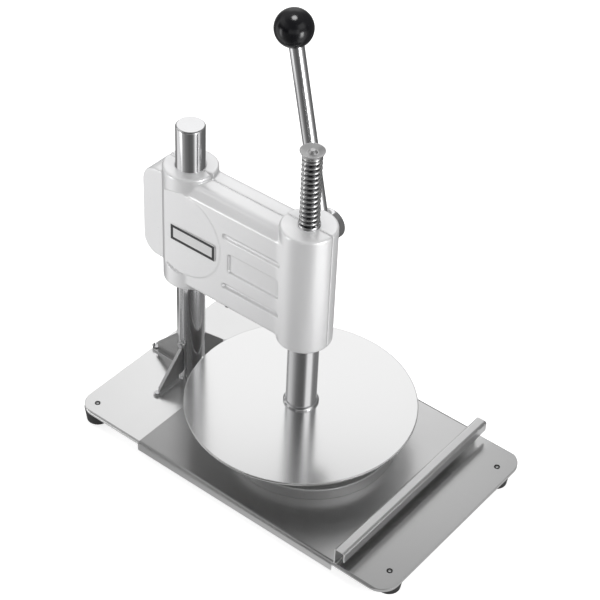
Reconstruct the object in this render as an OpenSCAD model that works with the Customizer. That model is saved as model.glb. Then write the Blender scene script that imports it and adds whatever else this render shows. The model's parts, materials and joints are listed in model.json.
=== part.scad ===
// Manual dough press: a hinged handle turns a pinion that drives a rack-cut ram,
// which presses a round upper plate onto a lower plate carried by a pull-out tray.
// The floor is z = 0, the base is centred on the origin, +X points to the tray's
// grip lip and +Y to the side that carries the handle.

/* [Base] */
// Length of the base plate
base_l = 404; // [360:1:460]
// Width of the base plate
base_w = 240; // [210:1:270]
// Thickness of the base plate
base_t = 4; // [3:0.5:6]
// Radius of the base plate's corners
base_corner_r = 20; // [10:1:30]
// Height of the rubber feet
foot_h = 16; // [10:0.5:20]
// Radius of a foot where it meets the base plate
foot_top_r = 14; // [11:0.5:14]
// Radius of a foot where it meets the floor
foot_bottom_r = 12; // [9:0.5:12]
// Distance from a foot's screw to the nearest end of the base plate
foot_inset = 16; // [14:0.5:22]
// Distance between the two front feet
front_foot_span = 184; // [160:1:204]
// Distance between the two rear feet
rear_foot_span = 210; // [180:1:212]

/* [Column] */
// Diameter of the column
column_d = 30; // [26:0.5:34]
// Height of the column above the base plate
column_h = 317; // [300:1:360]
// Distance from the column's axis to the ram's axis
throat = 149; // [138:1:160]
// Distance from the column's axis to the rear end of the base plate
column_inset = 54.5; // [50:0.5:64]
// Height of the gussets on the column, and their reach from its face
gusset_leg = 44.5; // [36:0.5:50]
// Thickness of a gusset's sheet
gusset_t = 2; // [1.5:0.25:3]

/* [Head] */
// Height of the head's underside above the base plate
head_z = 132; // [120:1:150]
// Height of the two bosses of the head
head_h = 138.5; // [130:0.5:150]
// Width of the arm across its two halves
arm_w = 49; // [46:0.5:56]
// Radius of the arm's long upper shoulders
shoulder_r = 12; // [6:0.5:16]
// Wall of the front boss around the ram's bush
front_wall = 9.4; // [7:0.2:12]
// Wall of the rear boss around the column
rear_wall = 13.3; // [10:0.1:15]
// Reach of the clamp lug behind the column's axis
lug_reach = 49; // [44:0.5:52]
// Thickness of the clamp lug across its two halves
lug_w = 34; // [28:1:40]
// Width of the clamp's slot
slot_w = 2; // [1:0.5:4]

/* [Ram and plates] */
// Diameter of the ram
ram_d = 32; // [28:0.5:36]
// Diameter of the upper plate
upper_d = 240; // [200:1:250]
// Thickness of the upper plate
upper_t = 3; // [2:0.5:5]
// Diameter of the lower plate
lower_d = 178; // [140:1:200]
// Thickness of the lower plate
lower_t = 13.5; // [10:0.5:16]
// Gap between the two plates with the handle up
open_gap = 27.5; // [20:0.5:32]

/* [Drive] */
// Module of the rack and pinion
gear_module = 2; // [1.8:0.1:2.2]
// Number of teeth on the pinion
pinion_teeth = 12; // [12:1:13]
// Width of the pinion
pinion_w = 22; // [21:0.5:23]
// Diameter of the pinion's shaft in its bushes
shaft_d = 16; // [12:0.5:17]
// Diameter of the hub that carries the handle
hub_d = 32.8; // [28:0.2:38]
// Length of the hub
hub_l = 35; // [31:0.5:42]
// Diameter of the handle's rod
rod_d = 15; // [12:0.5:16]
// Distance from the shaft's axis to the knob's centre
handle_l = 216; // [190:1:240]
// Backward lean of the handle with the ram up
handle_lean = 12; // [0:0.5:20]
// Diameter of the ball knob
knob_d = 38.4; // [34:0.2:44]

/* [Spring] */
// Outer diameter of the return spring
spring_d = 20; // [18:0.5:22]
// Diameter of the spring's wire
wire_d = 2.8; // [2:0.1:3.2]
// Number of turns of the spring
spring_turns = 15; // [10:1:16]
// Distance from the head's top to the underside of the spring's cap
spring_space = 82; // [78:0.5:95]
// Diameter of the stud inside the spring
stud_d = 12; // [10:0.5:12.5]
// Diameter of the cap on the spring
cap_d = 25; // [22:0.5:28]

/* [Tray] */
// Thickness of the tray's sheet
sheet_t = 1.5; // [1:0.1:2]
// Distance that the tray stands pulled out from the ram's axis
tray_out = 14.5; // [0:0.5:20]
// Reach of the tray behind the lower plate's centre
tray_rear = 129.5; // [122:0.5:131]
// Reach of the tray in front of the lower plate's centre
tray_front = 123.5; // [122:0.5:140]
// Height of the tray's side flanges
flange_h = 11; // [8:0.5:13]
// Height of the grip lip above the base plate
lip_h = 21.5; // [18:0.5:26]
// Width of the grip lip
lip_w = 12.5; // [10:0.5:15]
// Height of the lip's front skirt
lip_skirt = 12; // [8:0.5:14]

/* [Hidden] */
$fn = 72;

// Fits
run_fit = 0.05;      // radial clearance of a shaft that turns or slides in its bush
seat_fit = 0.02;     // radial clearance of a bush, pin or screw in its own seat
clear_fit = 0.5;     // clearance round a part that passes freely
rest_gap = 0.1;      // height at which the tray's sheet runs over the base plate
side_gap = 0.3;      // clearance between the tray's flanges and the base plate
cut = 1;             // overrun of every cutting solid

// Base
deck_z = foot_h + base_t;                    // top of the base plate
base_edge = 1.6;                             // chamfer along the long edges, under the tray's bends
foot_hole_r = 2;                             // screw hole through base plate and foot
foot_sink_r = 3.2;                           // counterbore at the top of the base plate
foot_sink_t = 1.8;                           // depth of the counterbore
foot_head_r = 2.6;
foot_head_t = 1.6;
foot_nut_r = 4;                              // nut in the pocket of a foot
foot_nut_t = 3;
foot_pocket_r = 5.5;                         // pocket that opens at the foot's underside
foot_web_t = 3;                              // rubber between the pocket and the base plate
foot_places = [for (side = [-1, 1])
    for (place = [[base_l / 2 - foot_inset, side * front_foot_span / 2],
                  [foot_inset - base_l / 2, side * rear_foot_span / 2]]) place];

// Column and gussets
column_r = column_d / 2;
column_x = column_inset - base_l / 2;
ram_x = column_x + throat;
column_top = deck_z + column_h;
column_chamfer = 1.2;
column_bolt_r = 6;
column_bolt_depth = 28;
column_head_r = 9;
column_head_h = 6;
column_washer_r = 14;
column_washer_t = 2;
gusset_strip_w = 3.6;                        // width of the folded sloping edge
gusset_flange_w = 6.5;                       // width of the flange on the base plate
gusset_relief = 6;                           // corner relief beside the column's foot
gusset_eye_r = 4.2;                          // eye on the column and pad on the base plate
gusset_screw_r = 1.6;
gusset_head_r = 2.9;
gusset_head_t = 1.6;
gusset_screw_depth = 7;
gusset_nose = 1;                             // blunt end of the near and far gussets
gusset_line = column_r + gusset_leg;         // sloping edge: distance from the axis plus height
gusset_eye_z = gusset_leg - gusset_t / 2;    // eye, above the base plate
gusset_near = [-90, gusset_line - gusset_nose];  // direction, and reach from the column's axis
gusset_far = [90, gusset_line - gusset_nose];
gusset_rear = [180, min(gusset_line - gusset_nose, column_inset)];
gussets = [gusset_near, gusset_far, gusset_rear];

// Head
front_bush_t = 3;
ram_r = ram_d / 2;
front_bush_r = ram_r + run_fit + front_bush_t;
front_r = front_bush_r + front_wall;
rear_r = column_r + run_fit + rear_wall;
head_bottom = deck_z + head_z;
head_top = head_bottom + head_h;
arm_rise = 6;                                // arm's underside above the bosses' underside
arm_fall = 5.5;                              // arm's top below the bosses' top
arm_bottom = head_bottom + arm_rise;
arm_top = head_top - arm_fall;
arm_under_r = 4;                             // radius of the arm's lower edges
boss_round = 2.5;                            // rounded rims of the bosses
wall_t = 5.5;                                // wall of the two half shells
cavity_end = 8;                              // metal between a bore and the arm's cavity
lug_rise = 18;                               // lug's ends, inside the bosses' ends
lug_fall = 12;
lug_bottom = head_bottom + lug_rise;
lug_top = head_top - lug_fall;
lug_corner_r = 19;
face_r = 50;                                 // round flat on the side, for the label
face_dx = 10;                                // its centre in front of the column's axis
face_rise = 71;
face_z = head_bottom + face_rise;
face_proud = 0.8;
label_l = 58.6;                              // label plate on the near flat
label_w = 19.5;
label_t = 0.6;
label_corner_r = 1.5;
label_dx = 24.7;                             // its centre in front of the column's axis
label_rise = 68.2;
bead_l = 70;                                 // two long beads on the side
bead_w = 5;
bead_proud = 1.4;
bead_mid = 64.3;                             // height of the panel's centre above the bosses' underside
bead_pitch = 31;                             // distance of each bead from the panel's centre
panel_l = 63;                                // raised panel between the beads
panel_w = 22.5;
panel_proud = 1.1;
panel_corner_r = 2.5;
rib_gap = 16;                                // beads and panel end this far behind the ram's axis
screw_r = 2.5;                               // head screws
screw_head_r = 4.3;
screw_head_h = 5;
screw_sink = 3;                              // depth of the counterbore beyond the head
screw_depth = 16;                            // reach of a head screw into the near half
clamp_r = 4;
clamp_head_r = 6.5;
clamp_head_h = 8;
clamp_washer_r = 8;
clamp_washer_t = 1.6;
clamp_depth = 12;
clamp_dx = 36;                               // clamp bolts behind the column's axis
clamp_rise = 30;                             // clamp bolts from the lug's ends
arm_screw_r = 2;
arm_screw_head_r = 3.4;
arm_screw_head_t = 2.2;
arm_screw_depth = 9;
arm_screw_dx = 61;                           // in front of the column's axis
arm_screw_y = -14;

// Drive
pitch_r = gear_module * pinion_teeth / 2;
pitch = gear_module * PI;
pressure = 20;                               // pressure angle, degrees
rack_add_share = 0.65;                       // rack addendum, as a share of the module
pinion_add_share = 0.8;                      // pinion addendum, as a share of the module
root_gap_share = 0.2;                        // tip clearance, as a share of the module
flank_gap = 0.08;                            // clearance on each flank
rack_add = rack_add_share * gear_module;
pinion_add = pinion_add_share * gear_module;
root_gap = root_gap_share * gear_module;
flank_steps = 5;
rack_depth = 6;                              // pitch line inside the ram's surface
rack_x = ram_x - ram_r + rack_depth;
pinion_x = rack_x - pitch_r;
pinion_rise = 92;                            // pinion's axis above the bosses' underside
pinion_z = head_bottom + pinion_rise;
tip_r = pitch_r + pinion_add;
base_circle_r = pitch_r * cos(pressure);
root_r = pitch_r - rack_add - root_gap;
pinion_room = 1.4;                           // room round the pinion's tips
shaft_r = shaft_d / 2;
shaft_bush_t = 3;
shaft_bush_r = shaft_r + run_fit + shaft_bush_t;
shaft_boss_wall = 8.5;
shaft_boss_r = shaft_bush_r + shaft_boss_wall;
shaft_boss_y = arm_w / 2 + 6.5;              // outer face of the boss on the far half
bush_gap = 1.5;                              // pinion's end to its bush
near_bush_l = 9;
far_bush_y = pinion_w / 2 + bush_gap;
thrust_t = 1.4;
thrust_play = 0.1;
hub_y = shaft_boss_y + thrust_t + 2 * thrust_play;
hub_r = hub_d / 2;
hub_chamfer = 1.2;
shaft_in_hub = 9;
hub_pin_r = 2;
rod_r = rod_d / 2;
rod_shift = 1.4;                             // rod's axis beyond the hub's middle
rod_y = hub_y + hub_l / 2 + rod_shift;
rod_below = 13;                              // rod below the shaft's axis, inside the hub
hub_screw_r = 3;
hub_screw_rest = 1.5;                        // socket left open outside the grub screw
knob_r = knob_d / 2;
knob_flat_share = 0.93;                      // flat under the knob, as a share of its radius
knob_hole_l = 22;

// Ram and plates
tray_z = deck_z + rest_gap;                  // underside of the tray's sheet
lower_z = tray_z + sheet_t;
upper_z = lower_z + lower_t + open_gap;
ram_z = upper_z + upper_t;
ram_head_gap = 4;                            // ram's top below the head's roof
roof_t = 4.5;                                // roof of the front boss
ram_top = head_top - roof_t - ram_head_gap;
rack_below = 12;                             // rack below the pinion's axis
rack_bottom = pinion_z - rack_below;
rack_teeth = ceil((ram_top - rack_bottom) / pitch);
lower_bush_l = 28;
upper_bush_l = 26;
bush_under = 2;                              // upper bush below the room round the pinion
upper_bush_top = pinion_z - tip_r - pinion_room - bush_under;
collar_r = ram_r + 2.4;
collar_h = 3.2;
collar_chamfer = 1.6;
plate_edge = 0.5;
plate_screw_r = 4;
plate_screw_head_r = 8;
plate_screw_head_t = 1.6;
plate_screw_depth = 22;
lower_edge = 1;
dowel_r = 3;
dowel_depth = 8;
dowel_out = 60;                              // dowels from the lower plate's centre

// Spring
stud_r = stud_d / 2;
stud_depth = 14;
stud_hole_r = stud_r + clear_fit;
seat_r = 11;
seat_t = 2;
seat_lip = 1;                                // rim that holds the spring's first turn
cap_z = head_top + spring_space;
cap_r = cap_d / 2;
cap_t = 1.6;
cap_dish = 1.8;                              // height of the dished rim
cap_screw_r = 3;
cap_screw_head_r = 5;
cap_screw_head_t = 2.6;
cap_screw_depth = 14;
wire_r = wire_d / 2;
coil_r = spring_d / 2 - wire_r;
coil_gap = 0.3;                              // wire to its seat and to its cap
end_turns = 1;                               // closed turns at each end
end_pitch = wire_d + 0.7;
coil_rings = 8;                              // rings on each turn
wire_sides = 6;

// Tray
tray_x = ram_x + tray_out;                   // lower plate's centre
bend_r = 2.3;                                // inner radius of the side flanges' bends
lip_bend_r = 1.6;                            // inner radius of the lip's bends
tray_half_w = base_w / 2 + side_gap + sheet_t;
lip_x = tray_x + tray_front;                 // back of the lip's web

// 2-D rectangle from (x0, y0) to (x1, y1) with round corners
module soft_rect(x0, y0, x1, y1, r) {
    translate([x0 + r, y0]) square([x1 - x0 - 2 * r, y1 - y0]);
    translate([x0, y0 + r]) square([x1 - x0, y1 - y0 - 2 * r]);
    for (x = [x0 + r, x1 - r], y = [y0 + r, y1 - r]) translate([x, y]) circle(r);
}

// Cylinder along Y between two planes
module rod_along_y(x, z, r, y0, y1) {
    translate([x, y0, z]) rotate([-90, 0, 0]) cylinder(r = r, h = y1 - y0);
}

// Upright cylinder with its top and bottom edges chamfered
module edged_cylinder(r, h, edge) {
    cylinder(r1 = r - edge, r2 = r, h = edge);
    translate([0, 0, edge]) cylinder(r = r, h = h - 2 * edge);
    translate([0, 0, h - edge]) cylinder(r1 = r, r2 = r - edge, h = edge);
}

// Upright cylinder with round rims
module round_cylinder(r, h, edge) {
    rotate_extrude() {
        square([r - edge, h]);
        translate([0, edge]) square([r, h - 2 * edge]);
        for (z = [edge, h - edge]) translate([r - edge, z]) circle(edge);
    }
}

// Outline in X and Z pushed along Y between two planes
module along_y(y0, y1) {
    translate([0, y1, 0]) rotate([90, 0, 0]) linear_extrude(y1 - y0) children();
}

// Outline in Y and Z pushed along X between two planes
module along_x(x0, x1) {
    translate([x0, 0, 0]) rotate([90, 0, 90]) linear_extrude(x1 - x0) children();
}

// Quarter of a bent sheet: outer radius, sheet, and the signs of its quadrant
module bend(r, t, sx, sy) {
    intersection() {
        difference() {
            circle(r);
            circle(r - t);
        }
        translate([sx > 0 ? 0 : -r, sy > 0 ? 0 : -r]) square(r);
    }
}

module base_plate() {
    color("gainsboro") difference() {
        translate([0, 0, foot_h]) linear_extrude(base_t)
            soft_rect(-base_l / 2, -base_w / 2, base_l / 2, base_w / 2, base_corner_r);
        for (place = foot_places) translate([place[0], place[1], foot_h - cut]) {
            cylinder(r = foot_hole_r + seat_fit, h = base_t + 2 * cut);
            translate([0, 0, cut + base_t - foot_sink_t]) cylinder(r = foot_sink_r, h = foot_sink_t + cut);
        }
        for (side = [-1, 1]) along_x(-base_l / 2 - cut, base_l / 2 + cut) polygon([
            [side * (base_w / 2 - base_edge - cut), deck_z + cut],
            [side * (base_w / 2 + cut), deck_z - base_edge - cut],
            [side * (base_w / 2 + cut), deck_z + cut]]);
        translate([column_x, 0, foot_h - cut])
            cylinder(r = column_bolt_r + seat_fit, h = base_t + 2 * cut);
        for (place = gussets) translate([column_x, 0, foot_h - cut]) rotate(place[0])
            translate([place[1] - gusset_eye_r, 0, 0])
                cylinder(r = gusset_screw_r + seat_fit, h = base_t + 2 * cut);
    }
}

module rubber_feet() {
    color("#202020") for (place = foot_places) translate([place[0], place[1], 0]) difference() {
        cylinder(r1 = foot_bottom_r, r2 = foot_top_r, h = foot_h);
        translate([0, 0, -cut]) cylinder(r = foot_hole_r + seat_fit, h = foot_h + 2 * cut);
        translate([0, 0, -cut]) cylinder(r = foot_pocket_r, h = foot_h - foot_web_t + cut);
    }
}

module foot_screws() {
    tail = foot_web_t + foot_nut_t + foot_nut_t / 2;
    color("silver") for (place = foot_places) translate([place[0], place[1], deck_z]) {
        translate([0, 0, -foot_sink_t]) difference() {
            cylinder(r = foot_head_r, h = foot_head_t);
            translate([0, 0, foot_head_t / 2]) cylinder(r = foot_head_r / 2, h = foot_head_t, $fn = 6);
        }
        translate([0, 0, -base_t - tail]) cylinder(r = foot_hole_r, h = base_t + tail - foot_sink_t);
    }
}

module foot_nuts() {
    color("silver") for (place = foot_places)
        translate([place[0], place[1], foot_h - foot_web_t - foot_nut_t]) difference() {
            cylinder(r = foot_nut_r, h = foot_nut_t, $fn = 6);
            translate([0, 0, -cut]) cylinder(r = foot_hole_r + seat_fit, h = foot_nut_t + 2 * cut);
        }
}

module column() {
    color("silver") translate([column_x, 0, deck_z]) difference() {
        union() {
            cylinder(r = column_r, h = column_h - column_chamfer);
            translate([0, 0, column_h - column_chamfer])
                cylinder(r1 = column_r, r2 = column_r - column_chamfer, h = column_chamfer);
        }
        translate([0, 0, -cut]) cylinder(r = column_bolt_r + seat_fit, h = column_bolt_depth + 2 * cut);
        for (place = gussets) rotate(place[0]) translate([column_r + cut, 0, gusset_eye_z])
            rotate([0, -90, 0]) cylinder(r = gusset_screw_r + seat_fit, h = gusset_screw_depth + cut);
    }
}

module column_bolt() {
    color("dimgray") translate([column_x, 0, foot_h - column_washer_t]) {
        cylinder(r = column_bolt_r, h = column_washer_t + base_t + column_bolt_depth);
        translate([0, 0, -column_head_h]) cylinder(r = column_head_r, h = column_head_h, $fn = 6);
    }
}

module column_washer() {
    color("silver") translate([column_x, 0, foot_h - column_washer_t]) difference() {
        cylinder(r = column_washer_r, h = column_washer_t);
        translate([0, 0, -cut]) cylinder(r = column_bolt_r + seat_fit, h = column_washer_t + 2 * cut);
    }
}

// Folded gusset: web, sloping strip, base flange, an eye on the column and a pad on the
// base plate; it reaches along +X before it is turned
module gusset(place) {
    inner = column_r + seat_fit;
    reach = place[1];
    strip = gusset_t * sqrt(2);
    pad_x = reach - gusset_eye_r;
    color("silver") translate([column_x, 0, deck_z]) rotate(place[0]) difference() {
        union() {
            along_y(-gusset_t / 2, gusset_t / 2) polygon([
                [inner, gusset_relief], [inner + gusset_relief, gusset_relief],
                [inner + gusset_relief, 0], [gusset_line - strip, 0], [inner, gusset_line - strip - inner]]);
            along_y(-gusset_t / 2, gusset_strip_w - gusset_t / 2) polygon([
                [gusset_line - strip, 0], [gusset_line, 0],
                [inner, gusset_line - inner], [inner, gusset_line - strip - inner]]);
            translate([inner + gusset_relief, 0, 0])
                cube([pad_x - inner - gusset_relief, gusset_flange_w - gusset_t / 2, gusset_t]);
            translate([inner, 0, gusset_eye_z]) rotate([0, 90, 0]) cylinder(r = gusset_eye_r, h = gusset_t);
            translate([pad_x, 0, 0]) cylinder(r = gusset_eye_r, h = gusset_t);
        }
        translate([reach, -gusset_leg, -cut]) cube([gusset_leg, 2 * gusset_leg, gusset_leg]);
        translate([inner - cut, 0, gusset_eye_z]) rotate([0, 90, 0])
            cylinder(r = gusset_screw_r + seat_fit, h = gusset_t + 2 * cut);
        translate([inner + gusset_t, 0, gusset_eye_z]) rotate([0, 90, 0])
            cylinder(r = gusset_head_r + seat_fit, h = gusset_leg);
        translate([pad_x, 0, -cut]) cylinder(r = gusset_screw_r + seat_fit, h = gusset_t + 2 * cut);
        translate([pad_x, 0, gusset_t]) cylinder(r = gusset_head_r + seat_fit, h = gusset_leg);
    }
}

module gusset_screws() {
    color("whitesmoke") for (place = gussets) translate([column_x, 0, deck_z]) rotate(place[0]) {
        translate([column_r + seat_fit + gusset_t, 0, gusset_eye_z]) rotate([0, 90, 0]) {
            cylinder(r = gusset_head_r, h = gusset_head_t);
            translate([0, 0, -gusset_t - gusset_screw_depth])
                cylinder(r = gusset_screw_r, h = gusset_t + gusset_screw_depth);
        }
        translate([place[1] - gusset_eye_r, 0, gusset_t]) {
            cylinder(r = gusset_head_r, h = gusset_head_t);
            translate([0, 0, -gusset_t - base_t]) cylinder(r = gusset_screw_r, h = gusset_t + base_t);
        }
    }
}

// Places of the head screws in X and Z: two beside each boss
function head_screw_places() =
    let (rear = column_x + column_r + run_fit + cavity_end, front = pinion_x - shaft_bush_r,
         low = arm_bottom + wall_t + screw_head_r, high = arm_top - wall_t - screw_head_r)
    [[rear, low], [rear, high], [front, low], [front, high]];

function clamp_places() =
    [for (z = [lug_bottom + clamp_rise, lug_top - clamp_rise]) [column_x - clamp_dx, z]];

// Outside of the whole head, before it is split along y = 0
module head_outside() {
    half = arm_w / 2;
    difference() {
        union() {
            along_x(column_x, ram_x) union() {
                translate([-half, arm_bottom + arm_under_r])
                    square([arm_w, arm_top - arm_bottom - arm_under_r - shoulder_r]);
                translate([arm_under_r - half, arm_bottom])
                    square([arm_w - 2 * arm_under_r, arm_top - arm_bottom - shoulder_r]);
                translate([shoulder_r - half, arm_bottom + arm_under_r])
                    square([arm_w - 2 * shoulder_r, arm_top - arm_bottom - arm_under_r]);
                for (side = [-1, 1]) {
                    translate([side * (half - arm_under_r), arm_bottom + arm_under_r]) circle(arm_under_r);
                    translate([side * (half - shoulder_r), arm_top - shoulder_r]) circle(shoulder_r);
                }
            }
            translate([ram_x, 0, head_bottom]) round_cylinder(front_r, head_h, boss_round);
            translate([column_x, 0, head_bottom]) round_cylinder(rear_r, head_h, boss_round);
            along_y(-lug_w / 2, lug_w / 2)
                soft_rect(column_x - lug_reach, lug_bottom, column_x, lug_top, lug_corner_r);
            rod_along_y(pinion_x, pinion_z, shaft_boss_r, 0, shaft_boss_y);
        }
        for (side = [-1, 1]) translate([0, side * (half + face_proud + half / 2), 0])
            rod_along_y(column_x + face_dx, face_z, face_r, -half / 2, half / 2);
    }
    for (side = [-1, 1]) {
        intersection() {
            rod_along_y(column_x + face_dx, face_z, face_r,
                        side > 0 ? 0 : -half - face_proud, side > 0 ? half + face_proud : 0);
            translate([column_x, 0, head_bottom]) union() {
                cylinder(r = rear_r, h = head_h);
                translate([0, -arm_w, arm_rise]) cube([throat, 2 * arm_w, arm_top - arm_bottom - shoulder_r]);
            }
        }
        along_side(side, bead_proud) for (level = [-1, 1])
            translate([ram_x - rib_gap, head_bottom + bead_mid + level * bead_pitch]) bead();
        along_side(side, panel_proud)
            soft_rect(ram_x - rib_gap - panel_l, head_bottom + bead_mid - panel_w / 2,
                      ram_x - rib_gap, head_bottom + bead_mid + panel_w / 2, panel_corner_r);
    }
}

// Outline of a bead that ends at the origin
module bead() {
    translate([bead_w / 2 - bead_l, -bead_w / 2]) square([bead_l - bead_w, bead_w]);
    for (x = [bead_w / 2 - bead_l, -bead_w / 2]) translate([x, 0]) circle(bead_w / 2);
}

// Outline in X and Z raised from one side of the arm
module along_side(side, proud) {
    base = arm_w / 2 - cut;
    y0 = side > 0 ? base : -arm_w / 2 - proud;
    along_y(y0, y0 + proud + cut) children();
}

// Everything that is bored or hollowed out of the head
module head_inside() {
    reach = arm_w;
    translate([column_x, 0, head_bottom - cut]) cylinder(r = column_r + run_fit, h = head_h + 2 * cut);
    translate([column_x - lug_reach - cut, -slot_w / 2, head_bottom - cut])
        cube([lug_reach + cut, slot_w, head_h + 2 * cut]);
    translate([ram_x, 0, head_bottom - cut]) cylinder(r = front_bush_r + seat_fit, h = lower_bush_l + cut);
    translate([ram_x, 0, upper_bush_top - upper_bush_l])
        cylinder(r = front_bush_r + seat_fit, h = upper_bush_l);
    translate([ram_x, 0, head_bottom]) cylinder(r = ram_r + clear_fit, h = head_h - roof_t);
    translate([ram_x, 0, head_bottom]) cylinder(r = stud_hole_r, h = head_h + cut);
    rod_along_y(pinion_x, pinion_z, tip_r + pinion_room, -far_bush_y, far_bush_y);
    rod_along_y(pinion_x, pinion_z, shaft_bush_r + seat_fit, -far_bush_y - near_bush_l, shaft_boss_y + cut);
    along_y(-arm_w / 2 + wall_t, arm_w / 2 - wall_t)
        soft_rect(column_x + column_r + 2 * cavity_end, arm_bottom + wall_t,
                  pinion_x - shaft_bush_r - cavity_end, arm_top - wall_t, shoulder_r / 2);
    for (place = head_screw_places()) {
        rod_along_y(place[0], place[1], screw_r + seat_fit, -screw_depth - cut, reach);
        rod_along_y(place[0], place[1], screw_head_r + seat_fit,
                    arm_w / 2 - screw_head_h - screw_sink, reach);
    }
    for (place = clamp_places())
        rod_along_y(place[0], place[1], clamp_r + seat_fit, -clamp_depth - cut, reach);
    translate([column_x + arm_screw_dx, arm_screw_y, arm_bottom - cut])
        cylinder(r = arm_screw_r + seat_fit, h = arm_screw_depth + cut);
}

module near_shell() {
    color("lightgray") difference() {
        intersection() {
            head_outside();
            translate([column_x - throat, -2 * arm_w, head_bottom]) cube([3 * throat, 2 * arm_w, head_h]);
        }
        head_inside();
    }
}

module far_shell() {
    color("lightgray") difference() {
        intersection() {
            head_outside();
            translate([column_x - throat, 0, head_bottom]) cube([3 * throat, 2 * arm_w, head_h]);
        }
        head_inside();
    }
}

module head_screws() {
    head_y = arm_w / 2 - screw_head_h - screw_sink;
    color("dimgray") for (place = head_screw_places()) {
        rod_along_y(place[0], place[1], screw_r, -screw_depth, head_y);
        rod_along_y(place[0], place[1], screw_head_r, head_y, head_y + screw_head_h);
    }
}

module clamp_bolts() {
    head_y = lug_w / 2 + clamp_washer_t;
    color("dimgray") for (place = clamp_places()) {
        rod_along_y(place[0], place[1], clamp_r, -clamp_depth, head_y);
        difference() {
            rod_along_y(place[0], place[1], clamp_head_r, head_y, head_y + clamp_head_h);
            translate([place[0], head_y + clamp_head_h / 2, place[1]]) rotate([-90, 0, 0])
                cylinder(r = clamp_head_r / 2, h = clamp_head_h, $fn = 6);
        }
    }
}

module clamp_washers() {
    color("silver") for (place = clamp_places()) difference() {
        rod_along_y(place[0], place[1], clamp_washer_r, lug_w / 2, lug_w / 2 + clamp_washer_t);
        rod_along_y(place[0], place[1], clamp_r + seat_fit, 0, lug_w);
    }
}

module arm_screw() {
    color("dimgray") translate([column_x + arm_screw_dx, arm_screw_y, arm_bottom]) {
        cylinder(r = arm_screw_r, h = arm_screw_depth);
        translate([0, 0, -arm_screw_head_t]) cylinder(r = arm_screw_head_r, h = arm_screw_head_t);
    }
}

module label_plate() {
    y1 = -arm_w / 2 - face_proud;
    x = column_x + label_dx;
    z = head_bottom + label_rise;
    color("whitesmoke") along_y(y1 - label_t, y1)
        soft_rect(x - label_l / 2, z - label_w / 2, x + label_l / 2, z + label_w / 2, label_corner_r);
}

module ram_bush(z, l) {
    color("goldenrod") translate([ram_x, 0, z]) difference() {
        cylinder(r = front_bush_r, h = l);
        translate([0, 0, -cut]) cylinder(r = ram_r + run_fit, h = l + 2 * cut);
    }
}

module pinion_bush(y0, y1) {
    color("goldenrod") difference() {
        rod_along_y(pinion_x, pinion_z, shaft_bush_r, y0, y1);
        rod_along_y(pinion_x, pinion_z, shaft_r + run_fit, y0 - cut, y1 + cut);
    }
}

// Involute of the base circle, as an angle in degrees at radius r
function roll_angle(r) = let (a = acos(min(1, base_circle_r / r))) tan(a) * 180 / PI - a;

// Half of a tooth's angle at radius r
function half_tooth(r) =
    90 / pinion_teeth + roll_angle(pitch_r) - roll_angle(max(r, base_circle_r))
    - flank_gap / pitch_r * 180 / PI;

flank_radii = concat([root_r], [for (i = [0:flank_steps])
    base_circle_r + (tip_r - base_circle_r) * i / flank_steps]);

// Pinion outline, with a tooth space facing +X
module pinion_outline() {
    polygon([for (i = [0:pinion_teeth - 1])
        let (mid = (i + 1 / 2) * 360 / pinion_teeth)
        each concat(
            [for (r = flank_radii) r * [cos(mid - half_tooth(r)), sin(mid - half_tooth(r))]],
            [for (j = [len(flank_radii) - 1:-1:0]) let (r = flank_radii[j])
                r * [cos(mid + half_tooth(r)), sin(mid + half_tooth(r))]])]);
}

module pinion_shaft() {
    hub_end = hub_y + shaft_in_hub;
    color("silver") difference() {
        union() {
            along_y(-pinion_w / 2, pinion_w / 2) translate([pinion_x, pinion_z]) pinion_outline();
            rod_along_y(pinion_x, pinion_z, shaft_r, -far_bush_y - near_bush_l + bush_gap, hub_end);
        }
        translate([pinion_x, hub_y + shaft_in_hub / 2, pinion_z - hub_d])
            cylinder(r = hub_pin_r + seat_fit, h = 2 * hub_d);
    }
}

module thrust_washer() {
    color("goldenrod") difference() {
        rod_along_y(pinion_x, pinion_z, shaft_bush_r + thrust_t,
                    shaft_boss_y + thrust_play, shaft_boss_y + thrust_play + thrust_t);
        rod_along_y(pinion_x, pinion_z, shaft_r + run_fit, shaft_boss_y, hub_y + cut);
    }
}

// Places its children at the shaft's axis in the handle's plane, leaning with the handle
module handle_frame() {
    translate([pinion_x, rod_y, pinion_z]) rotate([0, -handle_lean, 0]) children();
}

module handle_hub() {
    color("silver") difference() {
        translate([pinion_x, hub_y, pinion_z]) rotate([-90, 0, 0]) edged_cylinder(hub_r, hub_l, hub_chamfer);
        rod_along_y(pinion_x, pinion_z, shaft_r + seat_fit, hub_y - cut, hub_y + shaft_in_hub);
        translate([pinion_x, hub_y + shaft_in_hub / 2, pinion_z - hub_d])
            cylinder(r = hub_pin_r + seat_fit, h = 2 * hub_d);
        handle_frame() translate([0, 0, -rod_below]) cylinder(r = rod_r + seat_fit, h = rod_below + hub_d);
        rod_along_y(pinion_x, pinion_z, hub_screw_r + seat_fit, rod_y, hub_y + hub_l + cut);
    }
}

module hub_pin() {
    reach = hub_r - hub_chamfer;
    color("dimgray") translate([pinion_x, hub_y + shaft_in_hub / 2, pinion_z - reach])
        cylinder(r = hub_pin_r, h = 2 * reach);
}

module hub_screw() {
    color("dimgray") rod_along_y(pinion_x, pinion_z, hub_screw_r, rod_y + rod_r + seat_fit,
                                 hub_y + hub_l - hub_screw_rest);
}

module handle_rod() {
    color("silver") handle_frame() translate([0, 0, -rod_below])
        cylinder(r = rod_r, h = rod_below + handle_l - knob_r * knob_flat_share + knob_hole_l);
}

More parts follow.
